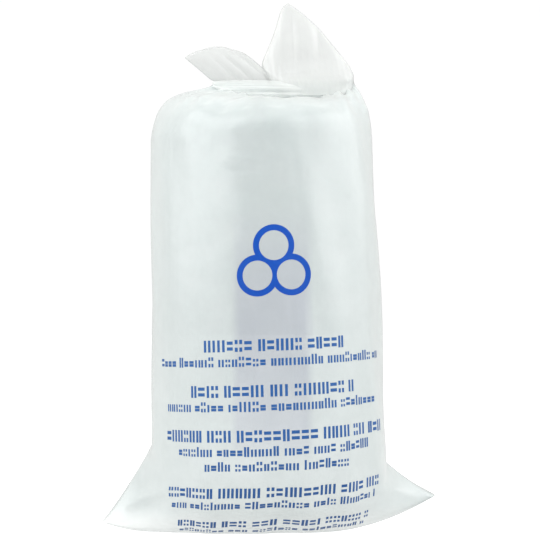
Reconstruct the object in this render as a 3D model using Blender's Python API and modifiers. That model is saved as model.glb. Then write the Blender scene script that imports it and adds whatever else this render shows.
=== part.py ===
"""Autoclave waste bag, filled with air, stood on its base and knotted at the neck.

Metres, +Z up. The origin is the middle of the base, on the floor. The printed front faces -Y and
the two welded corners (the ears) point to -X and +X.
"""

import math

import bmesh
import bpy
from mathutils import Matrix, Vector

# Film tube: 310 mm lay-flat width, so a girth of 620 mm.
FILM = 0.0005  # stand-in thickness: the real film is 0.05 mm
BODY_TOP = 0.3386  # height where the wall ends and the shoulder starts
WALL_LOW = 0.1044  # half width of the wall at the floor
WALL_HIGH = 0.0970  # half width of the wall at BODY_TOP
HALF_DEPTH = 0.0970
LEAN_LOW = 0.0011  # x of the tube's axis at the floor
LEAN_HIGH = -0.0066  # x of the tube's axis at BODY_TOP

# Pillow-shaped foot, closed by a weld along X that ends in two corners, the ears.
FOOT_RISE = 0.095  # height of the rounded foot
SEAT_DEPTH = 0.022  # half depth of the strip that the foot stands on
EAR_TIP = 0.147  # x of each corner's tip
LEFT_EAR_RISE = 0.075  # height where the left corner leaves the wall
RIGHT_EAR_RISE = 0.055
LEFT_LIFT = 0.0073  # how far each tip stands off the floor
RIGHT_LIFT = 0.0273
LEFT_LIFT_START = 0.105  # distance from the middle where the weld leaves the floor
RIGHT_LIFT_START = 0.050
LIFT_CURVE = 1.8
EAR_ROOT = 0.119  # x where each ear bends
EAR_GAP = 0.0012
EAR_FIT = 0.95  # each ear is this much narrower and lower than its mouth, so it can swing into it
EAR_MIDDLE = 0.027  # height of the middle of an ear's root
WELD_HALF = 0.0030
WELD_SLOT_HALF = 0.0036

# Shoulder, knot and tails.
RIM_DROP = 0.008  # the shoulder's rim stands inside the wall, this far below its top
RIM_INSET = 0.0026
NECK_PIVOT = (LEAN_HIGH, 0.0, BODY_TOP)  # the neck leans about an axis along X through this point
WRAP_RADIUS = 0.0055
WRAP_Z = 0.3898
TAIL_THICKNESS = 0.0008
TAIL_HINGE_Z = 0.3981

# Print, on the front. Lines are centred, and their places are distances up the film from the weld.
INK = 0.0003
INK_OFFSET = 0.0007
PRINT_TILT = math.radians(2.0)  # the print runs up to the right
EMBLEM_RUN = 0.2879
RING_RADIUS = 0.0170
HOLE_RADIUS = 0.0121
RING_REACH = 0.0161  # from the emblem's middle to each ring's middle
HEADING = 0.0097
TEXT = 0.0082
# Each line: distance from the weld up to its middle, half its length, and its height.
PRINT_LINES = [
    (0.2235, 0.0615, HEADING),
    (0.2106, 0.1160, TEXT),
    (0.1865, 0.0755, HEADING),
    (0.1740, 0.1065, TEXT),
    (0.1500, 0.1080, HEADING),
    (0.1374, 0.0920, TEXT),
    (0.1248, 0.0630, TEXT),
    (0.1004, 0.1050, HEADING),
    (0.0878, 0.1010, TEXT),
    (0.0637, 0.0925, HEADING),
    (0.0511, 0.0900, TEXT),
]

SEGMENTS = 48  # points in each ring of the tube
FOOT_STEPS = 7
FOOT_RINGS = [FOOT_RISE * (1.0 - math.cos(math.pi / 2 * i / FOOT_STEPS)) for i in range(FOOT_STEPS + 1)]
SKIN_RINGS = FOOT_RINGS + [BODY_TOP]
SEAT_SHARE = 0.5  # the seat has one inner ring of points, at this share of its size

FILM_COLOUR = (0.78, 0.82, 0.81, 1.0)
SHOULDER_COLOUR = (0.82, 0.85, 0.84, 1.0)
TAIL_COLOUR = (0.86, 0.88, 0.87, 1.0)
WELD_COLOUR = (0.70, 0.75, 0.75, 1.0)
EMBLEM_COLOUR = (0.01, 0.09, 0.45, 1.0)
INK_COLOUR = (0.02, 0.06, 0.28, 1.0)


def clear_scene():
    for item in list(bpy.data.objects):
        bpy.data.objects.remove(item)


def new_collection(name):
    collection = bpy.data.collections.new(name)
    bpy.context.scene.collection.children.link(collection)
    return collection


def give_material(item, colour, roughness=0.25):
    made = bpy.data.materials.new(item.name)
    made.use_nodes = True
    shader = made.node_tree.nodes["Principled BSDF"]
    shader.inputs["Base Color"].default_value = colour
    shader.inputs["Roughness"].default_value = roughness
    shader.inputs["Metallic"].default_value = 0.0
    item.data.materials.append(made)


def place(name, mesh, collection, origin=(0, 0, 0)):
    """Links a mesh made in world coordinates, with its object's origin moved to origin."""
    mesh.transform(Matrix.Translation(-Vector(origin)))
    item = bpy.data.objects.new(name, mesh)
    item.location = origin
    collection.objects.link(item)
    return item


def solidify(item, thickness, offset=-1.0):
    """A wall of this thickness behind the surface (offset -1) or in front of it (offset 1)."""
    wall = item.modifiers.new("Wall", "SOLIDIFY")
    wall.thickness = thickness
    wall.offset = offset


def grid_faces(form, rings, closed):
    """Joins rings of points, each listed the same way round, with quads that face outwards."""
    for low, high in zip(rings, rings[1:]):
        count = len(low)
        for i in range(count if closed else count - 1):
            j = (i + 1) % count
            form.faces.new((low[i], low[j], high[j], high[i]))


def mesh_from(form, name, smooth=True):
    bmesh.ops.recalc_face_normals(form, faces=form.faces)
    mesh = bpy.data.meshes.new(name)
    form.to_mesh(mesh)
    form.free()
    if smooth:
        mesh.shade_smooth()
        mesh.set_sharp_from_angle(angle=math.radians(40))
    return mesh


# The tube's outer surface.


def share(value, low, high):
    return min(1.0, max(0.0, (value - low) / (high - low)))


def axis_x(z):
    return LEAN_LOW + (LEAN_HIGH - LEAN_LOW) * z / BODY_TOP


def wall_half_width(z):
    return WALL_LOW + (WALL_HIGH - WALL_LOW) * z / BODY_TOP


def half_depth(z):
    """The foot closes in from front and back like a quarter of an ellipse."""
    down = 1.0 - share(z, 0.0, FOOT_RISE)
    return SEAT_DEPTH + (HALF_DEPTH - SEAT_DEPTH) * math.sqrt(1.0 - down * down)


def lift(x, z):
    """How far the weld, and the film near it, curls up towards each corner."""
    height, start = (RIGHT_LIFT, RIGHT_LIFT_START) if x > 0.0 else (LEFT_LIFT, LEFT_LIFT_START)
    along = share(abs(x), start, EAR_TIP)
    return height * along**LIFT_CURVE * (1.0 - share(z, 0.0, FOOT_RISE))


def skin_point(angle, z):
    """A point of the tube's outer surface, from the floor to BODY_TOP.

    angle is 0 towards +X and runs anticlockwise, seen from above. Each level is the outline of
    an oval and of the two corner tips beside it, with straight film between a tip and the oval.
    """
    rise = RIGHT_EAR_RISE if math.cos(angle) > 0.0 else LEFT_EAR_RISE
    wall = wall_half_width(z)
    tip = wall + (EAR_TIP - wall) * (1.0 - share(z, 0.0, rise))
    touch = math.acos(wall / tip)
    off_tip = math.acos(min(1.0, abs(math.cos(angle))))
    stretch = 1.0 / math.cos(max(0.0, touch - off_tip))
    x = axis_x(z) * share(z, 0.0, rise) + wall * stretch * math.cos(angle)
    y = half_depth(z) * stretch * math.sin(angle)
    return Vector((x, y, z + lift(x, z)))


def skin_ring(form, z, scale=1.0):
    ring = []
    for i in range(SEGMENTS):
        point = skin_point(2.0 * math.pi * i / SEGMENTS, z)
        x, y = point.x * scale, point.y * scale
        ring.append(form.verts.new((x, y, z + lift(x, z))))
    return ring


def skin_mesh(name, capped=False):
    """The tube from the middle of its seat up to BODY_TOP, open at the top unless it is capped."""
    form = bmesh.new()
    rings = [skin_ring(form, 0.0, SEAT_SHARE)]
    rings += [skin_ring(form, z) for z in SKIN_RINGS]
    grid_faces(form, rings, closed=True)
    middle = form.verts.new((0.0, 0.0, 0.0))
    seat = rings[0]
    for i in range(SEGMENTS):
        form.faces.new((middle, seat[(i + 1) % SEGMENTS], seat[i]))
    if capped:
        form.faces.new(rings[-1])
    return mesh_from(form, name)


# Cutters.


def box_cutter(name, collection, low, high):
    bpy.ops.mesh.primitive_cube_add(size=1.0)
    item = bpy.context.object
    for owner in list(item.users_collection):
        owner.objects.unlink(item)
    collection.objects.link(item)
    item.name = name
    item.location = (Vector(low) + Vector(high)) / 2
    item.scale = Vector(high) - Vector(low)
    item.hide_render = True
    item.display_type = "WIRE"
    return item


def cut(item, cutter, operation="DIFFERENCE"):
    boolean = item.modifiers.new(cutter.name, "BOOLEAN")
    boolean.operation = operation
    boolean.object = cutter
    boolean.solver = "EXACT"


def ear_box(name, cutters, side, gap):
    """Everything beyond an ear's root, on the -X side (side -1) or the +X side (side 1)."""
    ends = sorted((side * (EAR_ROOT + gap), side * 2 * EAR_TIP))
    return box_cutter(name, cutters, (ends[0], -0.2, -0.05), (ends[1], 0.2, 0.1))


# Film pieces.


def make_body(parts, cutters):
    body = place("body_film", skin_mesh("body_film"), parts)
    solidify(body, FILM)
    slot_low = (-EAR_ROOT - 0.004, -WELD_SLOT_HALF, -0.010)
    slot_high = (EAR_ROOT + 0.004, WELD_SLOT_HALF, RIGHT_LIFT)
    cut(body, box_cutter("weld_slot", cutters, slot_low, slot_high))
    cut(body, ear_box("left_ear_mouth", cutters, -1, 0.0))
    cut(body, ear_box("right_ear_mouth", cutters, 1, 0.0))
    give_material(body, FILM_COLOUR)


def make_ear(name, parts, cutters, side):
    """A corner of the weld, where the two layers lie together: it swings about its upright root."""
    root = side * (EAR_ROOT + EAR_GAP)
    ear = place(name, skin_mesh(name, capped=True), parts, (root, 0.0, EAR_MIDDLE))
    ear.data.transform(Matrix.Diagonal((1.0, EAR_FIT, EAR_FIT, 1.0)))
    cut(ear, ear_box(name + "_keep", cutters, side, EAR_GAP), "INTERSECT")
    give_material(ear, FILM_COLOUR)


def make_bottom_weld(parts):
    """The heat-sealed strip, which joins the base's two halves along X and curls up with the base."""
    form = bmesh.new()
    steps = 16
    reach = EAR_ROOT - 0.001
    rows = []
    for i in range(steps + 1):
        x = reach * (2.0 * i / steps - 1.0)
        z = lift(x, 0.0)
        rows.append([form.verts.new((x, y, z)) for y in (WELD_HALF, -WELD_HALF)])
    grid_faces(form, rows, closed=False)
    weld = place("bottom_weld", mesh_from(form, "bottom_weld", smooth=False), parts)
    facing_down = weld.data.polygons[0].normal.z < 0
    solidify(weld, FILM, -1.0 if facing_down else 1.0)
    give_material(weld, WELD_COLOUR)


def oval_ring(form, left, right, depth, side_z, front_z):
    """A ring through x = left and x = right at side_z, and through y = -depth and depth at front_z."""
    ring = []
    for i in range(SEGMENTS):
        angle = 2.0 * math.pi * i / SEGMENTS
        x = (left + right) / 2 + (right - left) / 2 * math.cos(angle)
        y = depth * math.sin(angle)
        z = side_z + (front_z - side_z) * math.sin(angle) ** 2
        ring.append(form.verts.new((x, y, z)))
    return ring


def make_shoulder(parts):
    """The crown closes in from the round wall to the flat gathered neck."""
    rim_z = BODY_TOP - RIM_DROP
    rim = wall_half_width(rim_z) - RIM_INSET
    centre = axis_x(rim_z)
    form = bmesh.new()
    rings = [
        oval_ring(form, centre - rim, centre + rim, HALF_DEPTH - RIM_INSET, rim_z, rim_z),
        oval_ring(form, -0.1000, 0.0870, 0.0935, 0.3470, 0.3446),
        oval_ring(form, -0.0978, 0.0862, 0.0895, 0.3616, 0.3546),
        oval_ring(form, -0.0890, 0.0830, 0.0810, 0.3731, 0.3626),
        oval_ring(form, -0.0750, 0.0815, 0.0620, 0.3791, 0.3696),
        oval_ring(form, -0.0610, 0.0800, 0.0380, 0.3826, 0.3756),
        oval_ring(form, -0.0520, 0.0785, 0.0180, 0.3846, 0.3796),
        oval_ring(form, -0.0500, 0.0780, 0.0095, 0.3861, 0.3821),
    ]
    grid_faces(form, rings, closed=True)
    shoulder = place("shoulder_film", mesh_from(form, "shoulder_film"), parts, NECK_PIVOT)
    solidify(shoulder, FILM)
    give_material(shoulder, SHOULDER_COLOUR)


def make_neck_gather(parts):
    """The film bunched inside the knot: a flat oval plug between the shoulder and the tails."""
    form = bmesh.new()
    rings = [
        oval_ring(form, -0.0380, 0.0600, 0.0040, 0.3746, 0.3746),
        oval_ring(form, -0.0480, 0.0755, 0.0078, 0.3806, 0.3806),
        oval_ring(form, -0.0480, 0.0755, 0.0070, 0.3896, 0.3896),
        oval_ring(form, -0.0475, 0.0735, 0.0045, 0.3961, 0.3961),
    ]
    grid_faces(form, rings, closed=True)
    form.faces.new(rings[0])
    form.faces.new(rings[-1])
    gather = place("neck_gather", mesh_from(form, "neck_gather"), parts, NECK_PIVOT)
    give_material(gather, SHOULDER_COLOUR)


def make_wrap(name, parts, side):
    """One turn of the knot: a roll of film that passes in front of (side -1) or behind the neck."""
    path = bpy.data.curves.new(name, "CURVE")
    path.dimensions = "3D"
    path.bevel_depth = WRAP_RADIUS
    path.bevel_resolution = 2
    path.use_fill_caps = True
    spline = path.splines.new("POLY")
    left, right, inner, bulge = -0.0470, 0.0600, 0.0140, 0.0090
    steps = 12
    spline.points.add(steps)
    for i, point in enumerate(spline.points):
        along = i / steps
        x = left + (right - left) * along
        y = side * (inner + bulge * math.sin(math.pi * along))
        point.co = (x - NECK_PIVOT[0], y, WRAP_Z + 0.0015 * along - NECK_PIVOT[2], 1.0)
        point.radius = 0.55 + 0.45 * math.sin(math.pi * along) ** 0.5
    wrap = bpy.data.objects.new(name, path)
    wrap.location = NECK_PIVOT
    parts.objects.link(wrap)
    give_material(wrap, SHOULDER_COLOUR)


def make_tail(name, parts, outline):
    """A free end of the mouth: a flat sheet with curved edges, hinged along its lower edge."""
    path = bpy.data.curves.new(name, "CURVE")
    path.dimensions = "2D"
    path.fill_mode = "BOTH"
    path.extrude = TAIL_THICKNESS / 2
    spline = path.splines.new("POLY")
    spline.points.add(len(outline) - 1)
    spline.use_cyclic_u = True
    for point, (x, z) in zip(spline.points, outline):
        point.co = (x, z - TAIL_HINGE_Z, 0.0, 1.0)
    tail = bpy.data.objects.new(name, path)
    tail.location = (0.0, 0.0, TAIL_HINGE_Z)
    tail.rotation_euler = (math.pi / 2, 0.0, 0.0)
    parts.objects.link(tail)
    give_material(tail, TAIL_COLOUR)


def bend(start, end, bulge, steps=5):
    """Points from start to end, bowed to the left of the way by bulge in the middle. End left out."""
    start, end = Vector(start), Vector(end)
    left = Vector((start.y - end.y, end.x - start.x)).normalized()
    points = []
    for i in range(steps):
        along = i / steps
        points.append(start.lerp(end, along) + left * bulge * math.sin(math.pi * along))
    return [tuple(point) for point in points]


def left_tail_outline():
    base_left = (-0.0475, TAIL_HINGE_Z)
    base_right = (-0.0090, TAIL_HINGE_Z)
    notch = (-0.0085, 0.4060)
    crown = (-0.0420, 0.4220)
    tip = (-0.0746, 0.4115)
    rim = bend(base_right, notch, 0.0, 2) + bend(notch, crown, -0.0015) + bend(crown, tip, -0.0012)
    return rim + bend(tip, base_left, 0.0015)


def right_tail_outline():
    base_left = (-0.0065, TAIL_HINGE_Z)
    base_right = (0.0730, TAIL_HINGE_Z)
    shoulder = (0.0676, 0.4096)
    knee = (0.0420, 0.4412)
    tip = (0.0158, 0.4610)
    neck = (0.0009, 0.4280)
    notch = (-0.0070, 0.4070)
    edge = bend(base_right, shoulder, 0.0, 2) + bend(shoulder, knee, -0.001)
    edge += bend(knee, tip, -0.0018) + bend(tip, neck, -0.0012)
    return edge + bend(neck, notch, 0.0) + bend(notch, base_left, 0.0, 2)


# Print.


def film_height(run):
    """The height reached by going this far up the film from the weld, at the front's middle."""
    left = run - SEAT_DEPTH
    steps = 200
    for i in range(steps):
        turn = math.pi / 2 * (i + 0.5) / steps
        back = (HALF_DEPTH - SEAT_DEPTH) * math.cos(turn)
        left -= math.hypot(back, FOOT_RISE * math.sin(turn)) * math.pi / 2 / steps
        if left <= 0.0:
            return FOOT_RISE * (1.0 - math.cos(turn))
    return FOOT_RISE + left


def facet_point(angle, z):
    """A point of the faceted skin: between the two rings and the two columns around it."""
    upper = next(i for i, level in enumerate(SKIN_RINGS) if level > z)
    low, high = SKIN_RINGS[upper - 1], SKIN_RINGS[upper]
    step = 2.0 * math.pi / SEGMENTS
    column = math.floor(angle / step)
    across = angle / step - column
    sides = []
    for level in (low, high):
        start = skin_point(column * step, level)
        sides.append(start.lerp(skin_point((column + 1) * step, level), across))
    return sides[0].lerp(sides[1], (z - low) / (high - low))


def print_point(arc, run, height):
    """A point this far outside the skin, arc to the right of the front's middle, run up the film."""
    z = film_height(run)
    angle = arc / wall_half_width(z) - math.pi / 2
    point = facet_point(angle, z)
    above = facet_point(angle, z + 0.002)
    beside = facet_point(angle + 0.02, z)
    normal = (beside - point).cross(above - point).normalized()
    return point + normal * height


def make_print_line(name, parts, middle, half_length, height):
    form = bmesh.new()
    steps = 18
    rows = []
    straight = middle > FOOT_RISE + SEAT_DEPTH + FOOT_RISE / 2  # the wall has no curve upwards
    for level in (-height / 2, height / 2) if straight else (-height / 2, 0.0, height / 2):
        row = []
        for i in range(steps + 1):
            arc = half_length * (2.0 * i / steps - 1.0)
            run = middle + level + arc * math.tan(PRINT_TILT)
            row.append(form.verts.new(print_point(arc, run, INK_OFFSET)))
        rows.append(row)
    grid_faces(form, rows, closed=False)
    line = place(name, mesh_from(form, name), parts)
    faces_front = sum(face.normal.y for face in line.data.polygons) < 0
    solidify(line, INK, 1.0 if faces_front else -1.0)
    give_material(line, INK_COLOUR, 0.4)


def emblem_ring(name, cutters, radius, centre, height):
    bpy.ops.mesh.primitive_cylinder_add(
        vertices=24, radius=radius, depth=height, location=(centre.x, centre.y, 0.0)
    )
    item = bpy.context.object
    for owner in list(item.users_collection):
        owner.objects.unlink(item)
    cutters.objects.link(item)
    item.name = name
    item.hide_render = True
    item.display_type = "WIRE"
    return item


def make_emblem(parts, cutters):
    """A plain mark of three joined rings, modelled flat and then wrapped round the front."""
    discs = []
    holes = []
    for i in range(3):
        out = Vector((0.0, 1.0))
        out.rotate(Matrix.Rotation(math.radians(120 * i), 2))
        disc = out * RING_REACH
        discs.append(emblem_ring(f"emblem_disc_{i}", cutters, RING_RADIUS, disc, INK))
        holes.append(emblem_ring(f"emblem_hole_{i}", cutters, HOLE_RADIUS, disc, 4 * INK))
    flat = discs[0].copy()
    flat.data = discs[0].data.copy()
    flat.name = "emblem_print"
    flat.hide_render = False
    flat.display_type = "TEXTURED"
    parts.objects.link(flat)
    for disc in discs[1:]:
        cut(flat, disc, "UNION")
    for hole in holes:
        cut(flat, hole)
    bpy.context.view_layer.update()
    evaluated = flat.evaluated_get(bpy.context.evaluated_depsgraph_get())
    mesh = bpy.data.meshes.new_from_object(evaluated)
    mesh.transform(flat.matrix_world)
    bpy.data.objects.remove(flat)
    for vertex in mesh.vertices:
        x, y = vertex.co.x, vertex.co.y
        arc = x * math.cos(PRINT_TILT) - y * math.sin(PRINT_TILT)
        run = EMBLEM_RUN + y * math.cos(PRINT_TILT) + x * math.sin(PRINT_TILT)
        vertex.co = print_point(arc, run, INK_OFFSET + INK / 2 + vertex.co.z)
    mesh.materials.clear()
    emblem = place("emblem_print", mesh, parts)
    give_material(emblem, EMBLEM_COLOUR, 0.4)


def main():
    clear_scene()
    parts = new_collection("autoclave_bag")
    cutters = new_collection("cutters")
    make_body(parts, cutters)
    make_bottom_weld(parts)
    make_ear("left_ear", parts, cutters, -1)
    make_ear("right_ear", parts, cutters, 1)
    make_shoulder(parts)
    make_neck_gather(parts)
    make_wrap("knot_front_wrap", parts, -1)
    make_wrap("knot_back_wrap", parts, 1)
    make_tail("left_tail", parts, left_tail_outline())
    make_tail("right_tail", parts, right_tail_outline())
    make_emblem(parts, cutters)
    for number, (middle, half_length, height) in enumerate(PRINT_LINES, 1):
        make_print_line(f"print_line_{number:02d}", parts, middle, half_length, height)


main()
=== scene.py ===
"""The looks of the knotted autoclave waste bag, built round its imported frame.

Metres, +Z up, printed front towards -Y. The bag's film is one sheet, laid out as a grid of columns
round the tube and rows from the bottom weld up into the knot, and cut into pieces where it bends.
"""

import math
import random

import bmesh
import bpy
import numpy as np
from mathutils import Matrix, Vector


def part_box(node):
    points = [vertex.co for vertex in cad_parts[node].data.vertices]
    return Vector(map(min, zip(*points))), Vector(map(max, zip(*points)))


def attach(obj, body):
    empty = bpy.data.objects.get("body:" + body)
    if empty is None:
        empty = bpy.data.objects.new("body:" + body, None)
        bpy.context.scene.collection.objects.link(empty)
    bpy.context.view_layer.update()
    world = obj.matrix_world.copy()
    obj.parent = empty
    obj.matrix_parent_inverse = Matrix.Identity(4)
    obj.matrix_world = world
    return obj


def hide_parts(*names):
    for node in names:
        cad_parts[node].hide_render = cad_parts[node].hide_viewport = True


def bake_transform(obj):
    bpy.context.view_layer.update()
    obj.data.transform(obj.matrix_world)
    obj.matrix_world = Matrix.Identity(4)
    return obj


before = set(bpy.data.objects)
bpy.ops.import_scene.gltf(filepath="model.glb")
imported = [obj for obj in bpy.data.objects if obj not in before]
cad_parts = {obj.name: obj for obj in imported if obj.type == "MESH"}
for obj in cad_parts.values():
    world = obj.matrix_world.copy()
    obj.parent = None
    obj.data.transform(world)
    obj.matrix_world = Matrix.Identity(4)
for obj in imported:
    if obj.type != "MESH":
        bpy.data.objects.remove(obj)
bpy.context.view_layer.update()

# Sizes taken from the frame.
BODY_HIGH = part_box("body_film")[1]
BODY_TOP = BODY_HIGH.z
HALF_DEPTH = BODY_HIGH.y
LEFT_TIP = -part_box("left_ear")[0].x

# The tube, as the CAD has it.
WALL_LOW = 0.1044
WALL_HIGH = 0.0970
LEAN_LOW = 0.0011
LEAN_HIGH = -0.0066
FOOT_RISE = 0.095
SEAT_DEPTH = 0.022
LEFT_EAR_RISE = 0.075
RIGHT_EAR_RISE = 0.055
LEFT_LIFT = 0.0073
RIGHT_LIFT = 0.0273
LEFT_LIFT_START = 0.105
RIGHT_LIFT_START = 0.050
LIFT_CURVE = 1.8
WELD_SHORT = 0.02

# The film's shape.
PLEAT_SEED = 0.0016
PLEAT_START = 6  # rows above the wall
CLOTH_FRAMES = 30
CLOTH_MARGIN = 8  # rows of wall under the crown that the cloth takes in
CLOTH_HELD = 3  # the lowest of these rows, which are held still
CLOTH_REACH = 0.008  # the cloth moves no point further than this
SWELL = 0.00045
SWELL_WAVES = 28
SWELL_LOW_ROWS = 12  # the swells fade in over these rows above the seat
SWELL_HIGH_ROWS = 30  # and out over these below the knot
EAR_PIECE = 0.108  # the ears' skins start at this distance from the middle

# Folds in the film: front (-1) or back (1), half width, height, and the way as x and z.
CREASES = [
    (-1, 0.0035, 0.0016, [(-0.126, 0.020), (-0.108, 0.031), (-0.083, 0.042)]),
    (-1, 0.0060, -0.0012, [(-0.128, 0.014), (-0.104, 0.024), (-0.080, 0.033)]),
    (-1, 0.0050, 0.0010, [(-0.118, 0.040), (-0.104, 0.062), (-0.094, 0.092)]),
    (-1, 0.0040, 0.0010, [(0.128, 0.030), (0.104, 0.036), (0.082, 0.038)]),
    (-1, 0.0050, -0.0010, [(0.124, 0.034), (0.104, 0.048), (0.092, 0.070)]),
    (1, 0.0040, 0.0014, [(-0.124, 0.022), (-0.100, 0.040), (-0.070, 0.050)]),
    (1, 0.0050, -0.0012, [(-0.120, 0.036), (-0.100, 0.064), (-0.090, 0.095)]),
    (1, 0.0040, 0.0012, [(0.126, 0.030), (0.100, 0.044), (0.070, 0.050)]),
    (-1, 0.0035, 0.0016, [(-0.055, 0.380), (-0.061, 0.371), (-0.064, 0.363), (-0.061, 0.352)]),
    (-1, 0.0060, -0.0014, [(-0.078, 0.345), (-0.066, 0.339), (-0.060, 0.328)]),
    (-1, 0.0030, 0.0009, [(-0.052, 0.319), (-0.036, 0.313), (-0.014, 0.312)]),
    (-1, 0.0030, -0.0008, [(-0.046, 0.311), (-0.030, 0.307), (-0.012, 0.308)]),
    (-1, 0.0035, 0.0012, [(0.070, 0.371), (0.079, 0.366), (0.084, 0.357)]),
    (1, 0.0040, 0.0012, [(-0.060, 0.372), (-0.050, 0.352), (-0.052, 0.330)]),
    (1, 0.0040, -0.0012, [(0.056, 0.370), (0.048, 0.350), (0.054, 0.322)]),
]

# The film's grid. Column 0 is at +X, and columns run anticlockwise seen from above.
COLUMNS = 240
FRONT_COLUMN = 3 * COLUMNS // 4
SEAT_ROWS = 6
FOOT_ROWS = 36
WALL_ROWS = 62
CROWN_ROWS = 34
NECK_ROWS = 5
CROWN_ROW = SEAT_ROWS + FOOT_ROWS + WALL_ROWS

# The crown closes in from the round wall to the flat neck. Each ring: left x and height, right x and
# height, half depth, and the height of its front and back. The first is a ring of the wall below,
# so that the crown leaves the wall without a kink.
CROWN = [
    (-0.1037, 0.3260, 0.0910, 0.3260, 0.0970, 0.3260),
    (-0.1036, 0.3386, 0.0904, 0.3386, 0.0970, 0.3386),
    (-0.1014, 0.3510, 0.0892, 0.3510, 0.0950, 0.3480),
    (-0.0970, 0.3630, 0.0868, 0.3625, 0.0895, 0.3565),
    (-0.0890, 0.3730, 0.0830, 0.3725, 0.0800, 0.3635),
    (-0.0770, 0.3790, 0.0800, 0.3790, 0.0640, 0.3670),
    (-0.0640, 0.3828, 0.0780, 0.3835, 0.0430, 0.3702),
    (-0.0545, 0.3856, 0.0762, 0.3868, 0.0240, 0.3735),
    (-0.0500, 0.3878, 0.0752, 0.3895, 0.0125, 0.3775),
]
NECK = [
    (-0.0485, 0.3888, 0.0740, 0.3915, 0.0085, 0.3840),
    (-0.0475, 0.3900, 0.0730, 0.3940, 0.0065, 0.3900),
]

# The pressed seam.
WELD_SECTION = (-0.0030, -0.0022, -0.0012, 0.0, 0.0012, 0.0022, 0.0030)
WELD_HALF = 0.0025
WELD_LIFT = 0.0005
WELD_PITCH = 0.0020
WELD_RIB = 0.00012
WELD_END = 0.1075
WELD_TIP = 0.1425

# The print, as the CAD has it: run up the film from the weld, half length and height.
HEADING = 0.0097
TEXT = 0.0082
PRINT_LINES = [
    (0.2235, 0.0615, HEADING),
    (0.2106, 0.1160, TEXT),
    (0.1865, 0.0755, HEADING),
    (0.1740, 0.1065, TEXT),
    (0.1500, 0.1080, HEADING),
    (0.1374, 0.0920, TEXT),
    (0.1248, 0.0630, TEXT),
    (0.1004, 0.1050, HEADING),
    (0.0878, 0.1010, TEXT),
    (0.0637, 0.0925, HEADING),
    (0.0511, 0.0900, TEXT),
]
PRINT_TILT = math.radians(2.0)
INK_LIFT = 0.00014
INK_CELL = 0.0024
EMBLEM_RUN = 0.2879
RING_RADIUS = 0.0170
HOLE_RADIUS = 0.0121
RING_REACH = 0.0161

# The tails: middle x and z, half width along x and z, half depth, fold depth, middle y.
TAIL_ROWS = 70
TAIL_COLUMNS = 140
LEFT_TAIL = [
    (0.0100, 0.3905, 0.0, 0.0016, 0.0020, 0.0000, 0.0),
    (0.0000, 0.3935, 0.0, 0.0048, 0.0040, 0.0004, 0.0),
    (-0.0105, 0.3978, 0.0, 0.0094, 0.0056, 0.0009, 0.0),
    (-0.0220, 0.4022, 0.0, 0.0138, 0.0058, 0.0012, 0.0),
    (-0.0330, 0.4045, 0.0, 0.0153, 0.0054, 0.0012, 0.0),
    (-0.0420, 0.4060, 0.0, 0.0158, 0.0046, 0.0010, 0.0),
    (-0.0510, 0.4068, 0.0, 0.0147, 0.0036, 0.0008, 0.0),
    (-0.0600, 0.4092, 0.0, 0.0099, 0.0026, 0.0005, 0.0),
    (-0.0690, 0.4112, 0.0, 0.0046, 0.0016, 0.0002, 0.0),
    (-0.0746, 0.4117, 0.0, 0.0004, 0.0006, 0.0000, 0.0),
]
RIGHT_TAIL = [
    (0.0405, 0.3770, 0.0350, 0.0, 0.0236, 0.0003, 0.0),
    (0.0393, 0.3830, 0.0362, 0.0, 0.0214, 0.0005, 0.0),
    (0.0373, 0.3888, 0.0377, 0.0, 0.0176, 0.0008, 0.0),
    (0.0353, 0.3942, 0.0389, 0.0, 0.0132, 0.0010, 0.0),
    (0.0337, 0.3995, 0.0401, 0.0, 0.0098, 0.0011, 0.0),
    (0.0310, 0.4080, 0.0380, 0.0, 0.0072, 0.0011, 0.0),
    (0.0290, 0.4175, 0.0325, 0.0, 0.0062, 0.0011, 0.0),
    (0.0268, 0.4280, 0.0259, 0.0, 0.0054, 0.0010, 0.0),
    (0.0238, 0.4400, 0.0187, 0.0, 0.0044, 0.0008, 0.0),
    (0.0188, 0.4520, 0.0102, 0.0, 0.0030, 0.0004, 0.0),
    (0.0162, 0.4580, 0.0046, 0.0, 0.0018, 0.0001, 0.0),
    (0.0158, 0.4607, 0.0008, 0.0, 0.0006, 0.0000, 0.0),
]

# The knot's turns: middle x and z, half height, half depth, fold depth and middle y.
WRAP_ROWS = 110
WRAP_COLUMNS = 64
WRAP_LEAN = 0.85
WRAP = [
    (0.0700, 0.3850, 0.0030, 0.0022, 0.0000, 0.0060),
    (0.0630, 0.3845, 0.0060, 0.0046, 0.0003, 0.0090),
    (0.0450, 0.3838, 0.0074, 0.0060, 0.0006, 0.0112),
    (0.0150, 0.3836, 0.0078, 0.0066, 0.0008, 0.0126),
    (-0.0150, 0.3840, 0.0078, 0.0066, 0.0008, 0.0124),
    (-0.0380, 0.3855, 0.0062, 0.0050, 0.0006, 0.0092),
    (-0.0505, 0.3882, 0.0028, 0.0024, 0.0000, 0.0040),
]

# Painted shade: a darker, bluer band low in the middle of the front, standing for the dark camera
# side that the film reflects: x, half width, and the heights of its ends.
BAND_MIDDLE = -0.004
BAND_HALF = 0.030
BAND_TOP = 0.290
BAND_BOTTOM = 0.060

# The film is paler under this height, where the floor lights it.
PALE_HEIGHT = 0.026
PALE_TINT = (0.95, 0.96, 0.95, 1.0)

# How the film deals with light.
THROUGH_SHARE = 0.45  # of the light it scatters, the share that goes on through
MIRROR_FACE_ON = 0.085
MIRROR_EDGE_ON = 0.60
CLEAR_TINT = (0.985, 0.995, 0.99, 1.0)

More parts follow.
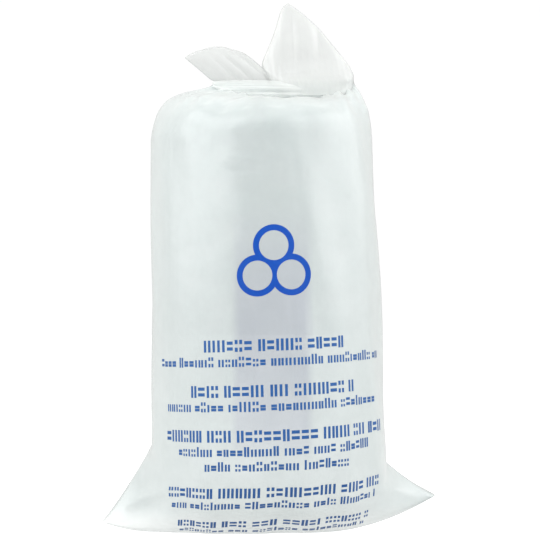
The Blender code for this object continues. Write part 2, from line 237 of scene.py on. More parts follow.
# The studio.
CAMERA_AZIMUTH = -4.5
CAMERA_DISTANCE = 1.25
CAMERA_HEIGHT = 0.2042
CAMERA_PITCH = 1.0
CAMERA_LENS = 95.0
SOFTBOXES = [  # name, azimuth, distance, height, width, tall, power
    ("left softbox", -66.0, 1.5, 1.0, 2.0, 1.6, 26.0),
    ("right softbox", 76.0, 1.5, 1.0, 1.9, 1.6, 23.0),
    ("strip light", 20.6, 1.5, 0.45, 0.09, 1.4, 0.9),
]
TOP_LIGHT = ("top light", 0.0, 0.45, 1.25, 1.3, 1.3, 17.0)
FLOOR_GREY = (0.38, 0.38, 0.38, 1.0)
FLOOR_GLOW = 0.93
FLOOR_FILL = 0.42
WORLD_FILL = 0.60
WORLD_GLOW = 1.02


def share(value, low, high):
    return min(1.0, max(0.0, (value - low) / (high - low)))


def axis_x(z):
    return LEAN_LOW + (LEAN_HIGH - LEAN_LOW) * z / BODY_TOP


def wall_half_width(z):
    return WALL_LOW + (WALL_HIGH - WALL_LOW) * z / BODY_TOP


def half_depth(z):
    down = 1.0 - share(z, 0.0, FOOT_RISE)
    return SEAT_DEPTH + (HALF_DEPTH - SEAT_DEPTH) * math.sqrt(1.0 - down * down)


def lift(x, z):
    height, start = (RIGHT_LIFT, RIGHT_LIFT_START) if x > 0.0 else (LEFT_LIFT, LEFT_LIFT_START)
    along = share(abs(x), start, LEFT_TIP)
    return height * along**LIFT_CURVE * (1.0 - share(z, 0.0, FOOT_RISE))


def tube_point(angle, z, seat=1.0):
    """A point of the tube below the crown. seat below 1 is inside the seat, and at 0 is the weld."""
    rise = RIGHT_EAR_RISE if math.cos(angle) > 0.0 else LEFT_EAR_RISE
    wall = wall_half_width(z)
    tip = wall + (LEFT_TIP - wall) * (1.0 - share(z, 0.0, rise))
    touch = math.acos(wall / tip)
    off_tip = math.acos(min(1.0, abs(math.cos(angle))))
    stretch = 1.0 / math.cos(max(0.0, touch - off_tip))
    x = axis_x(z) * share(z, 0.0, rise) + wall * stretch * math.cos(angle)
    x *= 1.0 - WELD_SHORT * (1.0 - seat)
    y = half_depth(z) * stretch * math.sin(angle)
    return (x, y * seat, z + lift(x, z))


def ring_at(rings, place):
    """The ring at this place in the list, on a smooth curve through all of them."""
    last = len(rings) - 1
    low = min(last - 1, int(place))
    part = place - low
    keys = [np.array(rings[min(last, max(0, low + k))]) for k in (-1, 0, 1, 2)]
    if low == 0:
        keys[0] = 2 * keys[1] - keys[2]
    if low == last - 1:
        keys[3] = 2 * keys[2] - keys[1]
    a, b, c, d = keys
    return b + 0.5 * part * (
        c - a + part * (2 * a - 5 * b + 4 * c - d + part * (3 * (b - c) + d - a))
    )


def crown_point(angle, ring):
    left, left_z, right, right_z, depth, front_z = ring
    across, out = math.cos(angle), math.sin(angle)
    x = (left + right) / 2 + (right - left) / 2 * across
    side_z = (left_z + right_z) / 2 + (right_z - left_z) / 2 * across
    return (x, depth * out, side_z + (front_z - side_z) * out * out)


def film_rows():
    """Every row of the film's grid as a function from angle to point, from the weld up."""
    rows = []
    for i in range(SEAT_ROWS):
        rows.append(lambda angle, part=i / SEAT_ROWS: tube_point(angle, 0.0, part))
    for i in range(FOOT_ROWS):
        height = FOOT_RISE * (1.0 - math.cos(math.pi / 2 * i / FOOT_ROWS))
        rows.append(lambda angle, z=height: tube_point(angle, z))
    for i in range(WALL_ROWS):
        height = FOOT_RISE + (BODY_TOP - FOOT_RISE) * i / WALL_ROWS
        rows.append(lambda angle, z=height: tube_point(angle, z))
    rings = CROWN + NECK
    steps = CROWN_ROWS + NECK_ROWS
    for i in range(steps + 1):
        place = 1 + i / CROWN_ROWS * (len(CROWN) - 2)
        if i > CROWN_ROWS:
            place = len(CROWN) - 1 + (i - CROWN_ROWS) / NECK_ROWS * len(NECK)
        ring = ring_at(rings, place)
        rows.append(lambda angle, ring=ring: crown_point(angle, ring))
    return rows


def film_grid():
    """The film's points, as an array of rows by columns by 3."""
    angles = [2.0 * math.pi * j / COLUMNS for j in range(COLUMNS)]
    return np.array([[row(angle) for angle in angles] for row in film_rows()])


# The film's shape: pleats, cloth, swells and creases.


def link(name, mesh):
    item = bpy.data.objects.new(name, mesh)
    bpy.context.scene.collection.objects.link(item)
    return item


def grid_normals(grid):
    """Outward normals at the grid's points."""
    across = np.roll(grid, -1, axis=1) - np.roll(grid, 1, axis=1)
    normals = np.cross(across, np.gradient(grid, axis=0))
    return normals / np.maximum(np.linalg.norm(normals, axis=2, keepdims=True), 1e-12)


def sheet(name, grid, keep=None, normals=None):
    """An object of the grid's cells, or of those that keep marks, shaded with the given normals."""
    rows, columns = grid.shape[:2]
    number = np.arange(rows * columns).reshape(rows, columns)
    beside = np.roll(number, -1, axis=1)
    cells = np.stack([number[:-1], beside[:-1], beside[1:], number[1:]], axis=2)
    cells = cells.reshape(-1, 4) if keep is None else cells[keep]
    used, corners = np.unique(cells, return_inverse=True)
    mesh = bpy.data.meshes.new(name)
    mesh.from_pydata(grid.reshape(-1, 3)[used].tolist(), [], corners.reshape(-1, 4).tolist())
    mesh.shade_smooth()
    if normals is not None:
        mesh.normals_split_custom_set_from_vertices(normals.reshape(-1, 3)[used].tolist())
    return link(name, mesh)


def pleat_seed(grid, first, rng):
    """The grid with shallow random pleats that deepen from row first to the neck."""
    angles = 2.0 * math.pi * np.arange(grid.shape[1]) / grid.shape[1]
    counts = range(9, 34)
    wave = sum(rng.normal() * np.cos(count * angles + rng.uniform(0.0, 6.28)) for count in counts)
    wave /= math.sqrt(len(counts))
    last = grid.shape[0] - NECK_ROWS
    depth = PLEAT_SEED * np.clip((np.arange(grid.shape[0]) - first) / (last - first), 0.0, 1.0)
    return grid + grid_normals(grid) * (depth[:, None] * wave[None, :])[..., None]


def slack_grid(grid):
    """The crown's own lengths: above its margin on the wall it is still a straight round tube."""
    slack = grid.copy()
    climb = np.zeros(grid.shape[1])
    for i in range(CLOTH_MARGIN + 1, grid.shape[0]):
        climb += np.linalg.norm(grid[i] - grid[i - 1], axis=1)
        slack[i] = grid[CLOTH_MARGIN]
        slack[i, :, 2] += climb
    return slack


def add_cloth(film, slack_key):
    cloth = film.modifiers.new("Cloth", "CLOTH")
    settings = cloth.settings
    settings.quality = 5
    settings.mass = 0.02
    settings.tension_stiffness = 80.0
    settings.compression_stiffness = 60.0
    settings.shear_stiffness = 10.0
    settings.bending_stiffness = 0.05
    settings.tension_damping = 5.0
    settings.compression_damping = 5.0
    settings.shear_damping = 5.0
    settings.bending_damping = 2.0
    settings.use_pressure = True
    settings.uniform_pressure_force = 3.0
    settings.vertex_group_mass = "held"
    settings.rest_shape_key = slack_key
    settings.effector_weights.gravity = 0.0
    cloth.collision_settings.use_collision = False
    cloth.point_cache.frame_start = 1
    cloth.point_cache.frame_end = CLOTH_FRAMES


def gather_crown(grid):
    """Lets cloth gather the crown's slack into the neck. The wall and the neck hold it."""
    first = CROWN_ROW - CLOTH_MARGIN
    crown = pleat_seed(grid[first:], CLOTH_MARGIN + PLEAT_START, np.random.default_rng(3))
    film = sheet("film", crown)
    held = film.vertex_groups.new(name="held")
    held.add(list(range(CLOTH_HELD * COLUMNS)), 1.0, "REPLACE")
    neck = (len(crown) - NECK_ROWS - 1) * COLUMNS
    held.add(list(range(neck, len(crown) * COLUMNS)), 1.0, "REPLACE")
    film.shape_key_add(name="start")
    slack_key = film.shape_key_add(name="own lengths")
    slack_key.data.foreach_set("co", slack_grid(grid[first:]).ravel())
    slack_key.value = 0.0
    add_cloth(film, slack_key)
    for number in range(1, CLOTH_FRAMES + 1):
        bpy.context.scene.frame_set(number)
    moved = film.evaluated_get(bpy.context.evaluated_depsgraph_get()).data
    points = np.zeros(len(moved.vertices) * 3)
    moved.vertices.foreach_get("co", points)
    bpy.context.scene.frame_set(1)
    bpy.data.objects.remove(film)
    step = points.reshape(crown.shape) - crown
    length = np.linalg.norm(step, axis=2, keepdims=True)
    step *= np.minimum(1.0, CLOTH_REACH / np.maximum(length, 1e-9))
    return np.concatenate([grid[:first], crown + step])


def add_swells(grid, rng):
    """Faint swells, longer up the film than across it, as film filled with air has."""
    angles = 2.0 * math.pi * np.arange(COLUMNS) / COLUMNS
    climb = np.linspace(0.0, 2.0 * math.pi, len(grid))[:, None]
    swell = np.zeros(grid.shape[:2])
    for _ in range(SWELL_WAVES):
        count = rng.integers(2, 17)
        wave = np.cos(count * angles + rng.uniform(0.5, 4.0) * climb + rng.uniform(0.0, 6.28))
        swell += rng.normal() * wave / (1.0 + count / 8.0)
    fade = np.clip((np.arange(len(grid)) - SEAT_ROWS) / SWELL_LOW_ROWS, 0.0, 1.0)
    fade *= np.clip((len(grid) - np.arange(len(grid))) / SWELL_HIGH_ROWS, 0.0, 1.0)
    return grid + grid_normals(grid) * (SWELL * fade[:, None] * swell)[..., None]


def add_crease(grid, side, half_width, height, way):
    """Raises the film along the way, seen from the front, on the front or the back."""
    flat = grid[:, :, (0, 2)]
    way = [np.array(point) for point in way]
    nearest = np.full(grid.shape[:2], np.inf)
    reached = np.zeros(grid.shape[:2])
    for number, (start, end) in enumerate(zip(way, way[1:])):
        along = np.clip((flat - start) @ (end - start) / ((end - start) @ (end - start)), 0.0, 1.0)
        distance = np.linalg.norm(flat - start - along[..., None] * (end - start), axis=2)
        closer = distance < nearest
        nearest[closer] = distance[closer]
        reached[closer] = (number + along[closer]) / (len(way) - 1)
    profile = np.exp(-((nearest / half_width) ** 2)) * np.sin(math.pi * np.clip(reached, 0.0, 1.0))
    profile *= grid[:, :, 1] * side > 0.0
    return grid + grid_normals(grid) * (height * profile)[..., None]


def shape_film():
    grid = gather_crown(film_grid())
    grid = add_swells(grid, np.random.default_rng(11))
    for side, half_width, height, way in CREASES:
        grid = add_crease(grid, side, half_width, height, way)
    return grid


# The film's pieces.


def make_film(grid, film):
    """The wall, the two ears and the shoulder: one skin, parted where the bodies part."""
    normals = grid_normals(grid)
    corner_x = np.abs(grid[:, :, 0])
    cell_x = (corner_x[:-1] + corner_x[1:] + np.roll(corner_x[:-1] + corner_x[1:], -1, axis=1)) / 4
    row = np.arange(len(grid) - 1)[:, None]
    low = (row < SEAT_ROWS + FOOT_ROWS) & (cell_x > EAR_PIECE)
    left = np.roll(grid[:-1, :, 0] < 0.0, -1, axis=1)
    shoulder = np.broadcast_to(row >= CROWN_ROW, low.shape)

    wall = sheet("wall_skin", grid, ~low & ~shoulder, normals)
    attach(wall, "bag")
    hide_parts("body_film")
    crown = sheet("shoulder_skin", grid, shoulder, normals)
    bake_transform(crown)
    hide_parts("shoulder_film", "neck_gather")
    for name, keep, way in (("left", low & left, -1.0), ("right", low & ~left, 1.0)):
        ear = sheet(f"{name}_ear_skin", grid, keep, normals)
        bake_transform(ear)
        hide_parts(f"{name}_ear")
        finish_piece(ear, film)
    finish_piece(wall, film)
    finish_piece(crown, film)


def finish_piece(piece, material):
    piece.data.materials.clear()
    piece.data.materials.append(material)


def weld_strip(name, x_from, x_to, material):
    """The pressed seam along the bottom: a thin ribbon with a fine cross ribbing."""
    steps = max(4, round(abs(x_to - x_from) / WELD_PITCH) * 4)
    rows = []
    for i in range(steps + 1):
        x = x_from + (x_to - x_from) * i / steps
        rib = WELD_RIB * math.cos(math.pi / 2 * i)
        z = lift(x, 0.0) + WELD_LIFT
        rows.append([(x, y, z + rib * (abs(y) < WELD_HALF)) for y in WELD_SECTION])
    strip = sheet(name, np.array(rows), open_cells(rows))
    finish_piece(strip, material)
    return strip


def open_cells(rows):
    """Marks the cells of a sheet that doesn't close round."""
    keep = np.ones((len(rows) - 1, len(rows[0])), bool)
    keep[:, -1] = False
    return keep


# The knot and the tails.


def tube_rings(keys, rows, columns):
    """Rings of a flattened tube on a smooth curve through the keys.

    Each key: middle x and z, half width along x and z, half depth, fold depth, middle y.
    """
    angles = 2.0 * math.pi * np.arange(columns) / columns
    across, out = np.cos(angles), np.sin(angles)
    rings = []
    folds = []
    for i in range(rows + 1):
        x, z, half_x, half_z, depth, fold, y = ring_at(keys, i / rows * (len(keys) - 1))
        ring = np.stack([x + half_x * across, y + depth * out, z + half_z * across], axis=1)
        rings.append(ring)
        folds.append(fold)
    return np.array(rings), np.array(folds)


def fold_tube(rings, folds, across, waves, rng):
    """Adds folds that run at right angles to the way across, given as x and z.

    They differ in front and behind, and fade at the tube's edges.
    """
    rows, columns = rings.shape[:2]
    angles = 2.0 * math.pi * np.arange(columns) / columns
    along = np.linspace(0.0, 1.0, rows)[:, None]
    place = rings[:, :, 0] * across[0] + rings[:, :, 2] * across[1]
    total = np.zeros((rows, columns))
    for side in (np.sin(angles) < 0.0, np.sin(angles) >= 0.0):
        for wave in waves:
            turn = 2.0 * math.pi * place / wave + rng.uniform(0.0, 6.28)
            turn = turn + 0.9 * np.sin(rng.uniform(3.0, 8.0) * along + rng.uniform(0.0, 6.28))
            crest = 1.0 - 2.0 * np.abs(np.sin(turn / 2.0)) ** 0.8
            strength = 0.5 + 0.5 * np.sin(rng.uniform(3.0, 9.0) * along + rng.uniform(0.0, 6.28))
            total += side * crest * strength * (wave / max(waves)) ** 0.6
    edge = np.clip(np.abs(np.sin(angles)) * 2.2, 0.0, 1.0)
    bent = rings.copy()
    bent[:, :, 1] += folds[:, None] * edge * total
    return bent


def make_tail(name, keys, across, waves, seed, film):
    """A free end of the bag's mouth: film gathered at the knot that spreads into a flat point."""
    rings, folds = tube_rings(keys, TAIL_ROWS, TAIL_COLUMNS)
    grid = fold_tube(rings, folds, across, waves, np.random.default_rng(seed))
    tail = sheet(f"{name}_spread", grid)
    close_end(tail, TAIL_ROWS * TAIL_COLUMNS, TAIL_COLUMNS)
    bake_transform(tail)
    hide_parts(name)
    finish_piece(tail, film)


def close_end(item, first, count):
    """Joins the ring's front and back with quads, so that the tip has no hole."""
    form = bmesh.new()
    form.from_mesh(item.data)
    form.verts.ensure_lookup_table()
    ring = [form.verts[first + k] for k in range(count)]
    for k in range(1, count // 2):
        corners = [ring[k - 1], ring[k], ring[count - k], ring[(count - k + 1) % count]]
        corners = list(dict.fromkeys(corners))
        if len(corners) > 2:
            form.faces.new(corners).smooth = True
    form.faces.new([ring[count // 2 - 1], ring[count // 2], ring[count // 2 + 1]]).smooth = True
    form.to_mesh(item.data)
    form.free()


def make_wrap(name, node, side, seed, film):
    """One turn of the knot: a roll of film with folds along it, before or behind the neck."""
    keys = [
        (x, z, 0.0, half, depth, fold, side * middle) for x, z, half, depth, fold, middle in WRAP
    ]
    rings, folds = tube_rings(keys, WRAP_ROWS, WRAP_COLUMNS)
    rings[:, :, 1] -= side * WRAP_LEAN * (rings[:, :, 2] - rings[:, :, 2].mean(axis=1)[:, None])
    grid = fold_tube(rings, folds, (0.0, 1.0), (0.009, 0.005), np.random.default_rng(seed))
    wrap = sheet(name, grid)
    close_end(wrap, WRAP_ROWS * WRAP_COLUMNS, WRAP_COLUMNS)
    close_end(wrap, 0, WRAP_COLUMNS)
    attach(wrap, "neck")
    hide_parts(node)
    finish_piece(wrap, film)


# The print.


class PrintedFilm:
    """Places on the printed front: arc to the right of its middle, and run up the film."""

    def __init__(self, grid):
        self.grid = grid
        self.normals = grid_normals(grid)
        steps = np.linalg.norm(np.diff(grid[:, FRONT_COLUMN], axis=0), axis=1)
        self.runs = np.concatenate([[0.0], np.cumsum(steps)])

    def place(self, arc, run):
        run += arc * math.tan(PRINT_TILT)
        row = float(np.interp(run, self.runs, np.arange(len(self.runs))))
        height = float(np.interp(row, np.arange(len(self.grid)), self.grid[:, FRONT_COLUMN, 2]))
        column = FRONT_COLUMN + arc / wall_half_width(height) * COLUMNS / (2.0 * math.pi)
        i, j = int(row), int(column)
        up, side = row - i, column - j
        point, normal = (
            (1 - up) * ((1 - side) * field[i, j] + side * field[i, (j + 1) % COLUMNS])
            + up * ((1 - side) * field[i + 1, j] + side * field[i + 1, (j + 1) % COLUMNS])
            for field in (self.grid, self.normals)
        )
        return point + normal * INK_LIFT


def add_mark(points, faces, printed, left, right, low, high):
    """One printed rectangle, cut fine enough to follow the film."""
    across = max(1, math.ceil((right - left) / INK_CELL))
    up = max(1, math.ceil((high - low) / INK_CELL))
    first = len(points)
    for i in range(up + 1):
        for j in range(across + 1):
            arc = left + (right - left) * j / across
            points.append(printed.place(arc, low + (high - low) * i / up).tolist())
    for i in range(up):
        for j in range(across):
            corner = first + i * (across + 1) + j
            faces.append((corner, corner + 1, corner + across + 2, corner + across + 1))


def mark_bars(kind, width, height, stroke):
    """The bars of one mark, as left, right, low and high inside its cell. None is a letter."""
    if kind == "posts":
        return [(0.0, stroke, 0.0, height), (width - stroke, width, 0.0, height)]
    if kind == "shelves":
        low, high = 0.12 * height, 0.88 * height
        return [(0.0, width, low, low + 1.2 * stroke), (0.0, width, high - 1.2 * stroke, high)]
    if kind == "blocks":
        wide, tall = 0.39 * width, 0.36 * height
        return [
            (x, x + wide, z, z + tall) for x in (0.0, width - wide) for z in (0.0, height - tall)
        ]
    return [((width - stroke) / 2, (width + stroke) / 2, 0.0, height)]


def make_print_line(number, run, half_length, height, printed, ink, rng):
    """A line of blind text: bars grouped like words, with no letters in it."""
    heading = height == HEADING
    stroke = height * (0.23 if heading else 0.22)
    low = run - height / 2
    points, faces = [], []
    arc = -half_length
    word = rng.randint(3, 9)
    while arc < half_length - 0.5 * height:
        if word == 0:
            arc += 0.38 * height
            word = rng.randint(3, 10)
            continue
        kind = rng.choice(("posts", "shelves", "posts", "blocks", "shelves", "post"))
        width = height * (0.28 if kind == "post" else rng.uniform(0.52, 0.68 if heading else 0.60))
        tall = height if heading or rng.random() < 0.3 else 0.74 * height
        for left, right, below, above in mark_bars(kind, width, tall, stroke):
            add_mark(points, faces, printed, arc + left, arc + right, low + below, low + above)
        arc += width + 0.17 * height
        word -= 1
    mesh = bpy.data.meshes.new("marks")
    mesh.from_pydata(points, [], faces)
    mesh.shade_smooth()
    line = link(f"print_marks_{number:02d}", mesh)
    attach(line, "bag")
    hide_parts(f"print_line_{number:02d}")
    finish_piece(line, ink)


def flat_disc(radius, x, y, height):
    bpy.ops.mesh.primitive_cylinder_add(
        vertices=96, radius=radius, depth=height, location=(x, y, 0.0)
    )
    return bpy.context.object


def make_emblem(printed, ink):
    """A plain mark of three joined rings, cut flat and then laid on the film."""
    turns = [math.radians(90 + 120 * k) for k in range(3)]
    centres = [(RING_REACH * math.cos(turn), RING_REACH * math.sin(turn)) for turn in turns]
    mark = flat_disc(RING_RADIUS, *centres[0], 0.002)
    tools = [("UNION", flat_disc(RING_RADIUS, *centre, 0.002)) for centre in centres[1:]]
    tools += [("DIFFERENCE", flat_disc(HOLE_RADIUS, *centre, 0.008)) for centre in centres]
    for operation, tool in tools:
        cut = mark.modifiers.new(operation, "BOOLEAN")
        cut.operation = operation
        cut.object = tool
    bpy.context.view_layer.update()
    form = bmesh.new()
    form.from_object(mark, bpy.context.evaluated_depsgraph_get())
    form.transform(mark.matrix_world)
    for item in [mark] + [tool for _, tool in tools]:
        bpy.data.objects.remove(item)
    hidden = [face for face in form.faces if face.normal.z < 0.5]
    bmesh.ops.delete(form, geom=hidden, context="FACES")
    reach = RING_REACH + RING_RADIUS
    for k in range(-int(reach / INK_CELL), int(reach / INK_CELL) + 1):
        for normal in ((1, 0, 0), (0, 1, 0)):
            spot = Vector(normal) * k * INK_CELL
            everything = form.verts[:] + form.edges[:] + form.faces[:]
            bmesh.ops.bisect_plane(form, geom=everything, plane_co=spot, plane_no=normal)
    for vertex in form.verts:
        vertex.co = printed.place(vertex.co.x, EMBLEM_RUN + vertex.co.y)
    for face in form.faces:
        face.smooth = True
    mesh = bpy.data.meshes.new("emblem_mark")
    form.to_mesh(mesh)
    form.free()
    emblem = link("emblem_mark", mesh)
    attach(emblem, "bag")
    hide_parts("emblem_print")
    finish_piece(emblem, ink)


# Materials.


class Nodes:
    """A material's node tree, with short calls to add and join nodes."""

    def __init__(self, owner):
        owner.use_nodes = True
        self.tree = owner.node_tree
        self.tree.nodes.clear()

    def add(self, kind, **inputs):
        node = self.tree.nodes.new(kind)
        for name, value in inputs.items():
            self.set(node, name.replace("_", " "), value)
        return node

    def set(self, node, name, value):
        socket = node.inputs[int(name)] if name.isdigit() else node.inputs[name]
        if isinstance(value, bpy.types.NodeSocket):
            self.tree.links.new(value, socket)
        else:
            socket.default_value = value

    def math(self, operation, first, second=0.0):
        node = self.tree.nodes.new("ShaderNodeMath")
        node.operation = operation
        self.set(node, "0", first)
        self.set(node, "1", second)
        return node.outputs[0]

    def noise(self, place, scale, detail=3.0, stretch=(1, 1, 1)):
        mapping = self.add("ShaderNodeMapping", Vector=place, Scale=stretch)
        noise = self.add("ShaderNodeTexNoise", Vector=mapping.outputs[0], Scale=scale, Detail=detail)
        return noise.outputs["Fac"]

    def mix(self, amount, first, second):
        node = self.tree.nodes.new("ShaderNodeMix")
        node.data_type = "RGBA"
        self.set(node, "0", amount)
        self.set(node, "6", first)
        self.set(node, "7", second)
        return node.outputs[2]

    def ramp(self, value, low, high):
        """0 at low and 1 at high, with soft ends. low can be above high."""
        node = self.add("ShaderNodeMapRange", Value=value)
        node.interpolation_type = "SMOOTHSTEP"
        self.set(node, "From Min", low)
        self.set(node, "From Max", high)
        return node.outputs[0]

    def between(self, value, low, high):
        """value, which runs from 0 to 1, stretched to run from low to high."""
        return self.math("ADD", self.math("MULTIPLY", value, high - low), low)


def painted_shade_band(nodes, place, streaks):
    """1 in the band of painted shade down the front and 0 elsewhere, with sides that waver with the
    streaks.
    """
    x, y, z = nodes.add("ShaderNodeSeparateXYZ", Vector=place).outputs
    across = nodes.math("ABSOLUTE", nodes.math("SUBTRACT", x, BAND_MIDDLE))
    across = nodes.math("ADD", across, nodes.between(streaks, -0.008, 0.008))
    band = nodes.ramp(across, BAND_HALF + 0.006, BAND_HALF - 0.004)
    band = nodes.math("MULTIPLY", band, nodes.ramp(z, BAND_TOP, BAND_TOP - 0.090))
    band = nodes.math("MULTIPLY", band, nodes.ramp(z, BAND_BOTTOM, BAND_BOTTOM + 0.040))
    return nodes.math("MULTIPLY", band, nodes.ramp(y, 0.0, -0.050))


def film_material(name, tint, edge_tint, milk_low, milk_high, roughness, crinkle, painted_shade_tint=None):
    """Thin milky film: part clear, part scattering, glossier and denser where it is seen edge on.

    A roughness that varies across 0.27 leaves fine outlines in the denoised film, so keep it above.
    """
    material = bpy.data.materials.new(name)
    nodes = Nodes(material)
    place = nodes.add("ShaderNodeTexCoord").outputs["Object"]
    streaks = nodes.noise(place, 26.0, 4.0, (1.0, 1.0, 0.16))
    cloud = nodes.noise(place, 36.0, 3.5)
    grain = nodes.noise(place, 900.0, 2.0)
    patch = nodes.math("MULTIPLY", nodes.math("ADD", streaks, cloud), 0.5)

    bump = nodes.add("ShaderNodeBump", Height=streaks, Distance=0.0010 * crinkle, Strength=1.0)
    bump = nodes.add(
        "ShaderNodeBump", Height=cloud, Distance=0.0007 * crinkle, Normal=bump.outputs[0]
    )
    bump = nodes.add("ShaderNodeBump", Height=grain, Distance=0.000006, Normal=bump.outputs[0])
    normal = bump.outputs[0]

    facing = nodes.add("ShaderNodeLayerWeight", Blend=0.5).outputs["Facing"]
    through = nodes.math("MAXIMUM", nodes.math("SUBTRACT", 1.0, facing), 0.5)
    clear = nodes.math("SUBTRACT", 1.0, nodes.between(patch, milk_low, milk_high))
    clear = nodes.math("POWER", clear, nodes.math("DIVIDE", 1.0, through))

    colour = nodes.mix(facing, tint, edge_tint)
    # Painted shade: the film's colour goes darker and bluer in the band down the lower front.
    if painted_shade_tint:
        colour = nodes.mix(painted_shade_band(nodes, place, streaks), colour, painted_shade_tint)
    height = nodes.add("ShaderNodeSeparateXYZ", Vector=place).outputs["Z"]
    colour = nodes.mix(nodes.ramp(height, PALE_HEIGHT, 0.0), colour, PALE_TINT)
    scatter = nodes.add("ShaderNodeMixShader", Fac=THROUGH_SHARE)
    lit = nodes.add("ShaderNodeBsdfDiffuse", Color=colour, Normal=normal)
    glow = nodes.add("ShaderNodeBsdfTranslucent", Color=colour, Normal=normal)
    nodes.set(scatter, "1", lit.outputs[0])
    nodes.set(scatter, "2", glow.outputs[0])
    see = nodes.add("ShaderNodeBsdfTransparent", Color=CLEAR_TINT)
    body = nodes.add("ShaderNodeMixShader", Fac=clear)
    nodes.set(body, "1", scatter.outputs[0])
    nodes.set(body, "2", see.outputs[0])

    rough = nodes.between(cloud, roughness, roughness * 1.25)
    gloss = nodes.add("ShaderNodeBsdfGlossy", Roughness=rough, Normal=normal)
    mirror = nodes.between(nodes.math("POWER", facing, 5.0), MIRROR_FACE_ON, MIRROR_EDGE_ON)
    surface = nodes.add("ShaderNodeMixShader", Fac=mirror)
    nodes.set(surface, "1", body.outputs[0])
    nodes.set(surface, "2", gloss.outputs[0])
    nodes.add("ShaderNodeOutputMaterial", Surface=surface.outputs[0])
    return material


def ink_material(name, thin, full):
    """Printed ink: flat colour that varies a little where the film took less of it."""
    material = bpy.data.materials.new(name)
    nodes = Nodes(material)
    place = nodes.add("ShaderNodeTexCoord").outputs["Object"]
    patch = nodes.noise(place, 220.0, 4.0)
    speck = nodes.noise(place, 1500.0, 2.0)
    amount = nodes.math("MULTIPLY", nodes.between(patch, 0.1, 1.3), nodes.between(speck, 0.7, 1.3))
    bump = nodes.add("ShaderNodeBump", Height=patch, Distance=0.00002)
    paint = nodes.add("ShaderNodeBsdfPrincipled", Normal=bump.outputs[0])
    nodes.set(paint, "Base Color", nodes.mix(amount, thin, full))
    nodes.set(paint, "Roughness", nodes.between(patch, 0.28, 0.42))
    nodes.set(paint, "Specular IOR Level", 0.25)
    nodes.add("ShaderNodeOutputMaterial", Surface=paint.outputs[0])
    return material


# The studio.


def aim(item, target):
    item.rotation_euler = (Vector(target) - item.location).to_track_quat("-Z", "Y").to_euler()


def softbox(name, azimuth, distance, height, width, tall, power):
    """An area light. Azimuth 0 is in front, at -Y, and grows towards +X."""
    lamp = bpy.data.lights.new(name, "AREA")
    lamp.shape = "RECTANGLE"
    lamp.size = width
    lamp.size_y = tall
    lamp.energy = power
    item = link(name, lamp)
    item.visible_camera = False
    turn = math.radians(azimuth)
    item.location = (distance * math.sin(turn), -distance * math.cos(turn), height)
    aim(item, (0.0, 0.0, height * 0.6))
    return item


def make_floor():
    form = bmesh.new()
    bmesh.ops.create_grid(form, x_segments=8, y_segments=8, size=6.0)
    mesh = bpy.data.meshes.new("studio_floor")
    form.to_mesh(mesh)
    form.free()
    floor = link("studio_floor", mesh)
    floor.location.z = -0.0006
    material = bpy.data.materials.new("white sweep")
    nodes = Nodes(material)
    matt = nodes.add("ShaderNodeBsdfDiffuse", Color=FLOOR_GREY)
    seen = nodes.add("ShaderNodeLightPath").outputs["Is Camera Ray"]
    strength = nodes.between(seen, FLOOR_FILL, FLOOR_GLOW)
    glow = nodes.add("ShaderNodeEmission", Color=(1.0, 1.0, 1.0, 1.0), Strength=strength)
    both = nodes.add("ShaderNodeAddShader")
    nodes.set(both, "0", matt.outputs[0])
    nodes.set(both, "1", glow.outputs[0])
    nodes.add("ShaderNodeOutputMaterial", Surface=both.outputs[0])
    mesh.materials.append(material)


def make_world():
    """White behind the bag, and a dimmer white in what its film reflects."""
    world = bpy.data.worlds.new("studio")
    bpy.context.scene.world = world
    nodes = Nodes(world)
    seen = nodes.add("ShaderNodeLightPath").outputs["Is Camera Ray"]
    strength = nodes.between(seen, WORLD_FILL, WORLD_GLOW)
    ground = nodes.add("ShaderNodeBackground", Color=(1.0, 1.0, 1.0, 1.0), Strength=strength)
    nodes.add("ShaderNodeOutputWorld", Surface=ground.outputs[0])


def make_camera():
    camera = bpy.data.cameras.new("camera")
    camera.lens = CAMERA_LENS
    camera.sensor_width = 36.0
    item = link("camera", camera)
    azimuth = math.radians(CAMERA_AZIMUTH)
    item.location = (
        CAMERA_DISTANCE * math.sin(azimuth), -CAMERA_DISTANCE * math.cos(azimuth), CAMERA_HEIGHT
    )
    item.rotation_euler = (math.radians(90.0 + CAMERA_PITCH), 0.0, azimuth)
    bpy.context.scene.camera = item


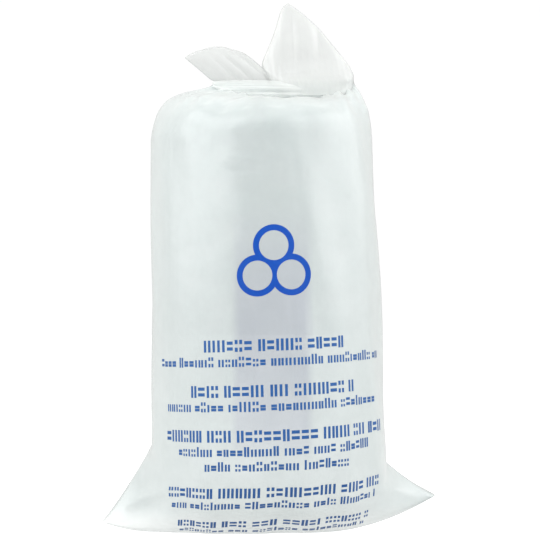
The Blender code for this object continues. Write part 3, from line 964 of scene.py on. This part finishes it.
def main():
    film = film_material(
        "bag film",
        tint=(0.455, 0.515, 0.515, 1.0),
        edge_tint=(0.76, 0.78, 0.765, 1.0),
        milk_low=0.24,
        milk_high=0.70,
        roughness=0.28,
        crinkle=1.0,
        # the colour of the painted shade band down the lower front
        painted_shade_tint=(0.305, 0.335, 0.405, 1.0),
    )
    # Painted light: the knot's gathered film is the bag's own film with a much paler tint, standing
    # for the light that passes on through its many layers from above and behind.
    bunched = film_material(
        "gathered film",
        tint=(0.83, 0.84, 0.83, 1.0),
        edge_tint=(0.83, 0.84, 0.83, 1.0),
        milk_low=0.16,
        milk_high=0.40,
        roughness=0.29,
        crinkle=1.0,
    )
    # Painted light: the tails' loose film is the same film with a paler tint, standing for the light
    # that passes through them from above and behind.
    loose = film_material(
        "loose film",
        tint=(0.655, 0.665, 0.655, 1.0),
        edge_tint=(0.50, 0.51, 0.50, 1.0),
        milk_low=0.24,
        milk_high=0.62,
        roughness=0.29,
        crinkle=1.8,
    )
    seam = film_material(
        "welded seam",
        tint=(0.74, 0.77, 0.76, 1.0),
        edge_tint=(0.80, 0.82, 0.81, 1.0),
        milk_low=0.45,
        milk_high=0.60,
        roughness=0.28,
        crinkle=0.6,
    )
    emblem_ink = ink_material("emblem ink", (0.004, 0.066, 0.34, 1.0), (0.002, 0.046, 0.29, 1.0))
    text_ink = ink_material("text ink", (0.026, 0.100, 0.29, 1.0), (0.015, 0.070, 0.22, 1.0))

    grid = shape_film()
    make_film(grid, film)
    weld = weld_strip("bottom_weld_seam", -WELD_END, WELD_END, seam)
    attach(weld, "bag")
    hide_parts("bottom_weld")
    for name, way in (("left", -1.0), ("right", 1.0)):
        strip = weld_strip(f"{name}_ear_seam", way * WELD_END, way * WELD_TIP, seam)
        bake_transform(strip)
    make_tail("left_tail", LEFT_TAIL, (0.62, 0.78), (0.021, 0.009), 21, loose)
    make_tail("right_tail", RIGHT_TAIL, (0.99, 0.14), (0.022, 0.011, 0.005), 22, loose)
    make_wrap("knot_front_folds", "knot_front_wrap", -1.0, 31, bunched)
    make_wrap("knot_back_folds", "knot_back_wrap", 1.0, 32, bunched)

    printed = PrintedFilm(grid)
    make_emblem(printed, emblem_ink)
    rng = random.Random(5)
    for number, (run, half_length, height) in enumerate(PRINT_LINES, 1):
        make_print_line(number, run, half_length, height, printed, text_ink, rng)

    make_floor()
    make_world()
    for lamp in SOFTBOXES:
        softbox(*lamp)
    softbox(*TOP_LIGHT).visible_glossy = False
    make_camera()
    bpy.context.scene.view_settings.view_transform = "Standard"


main()
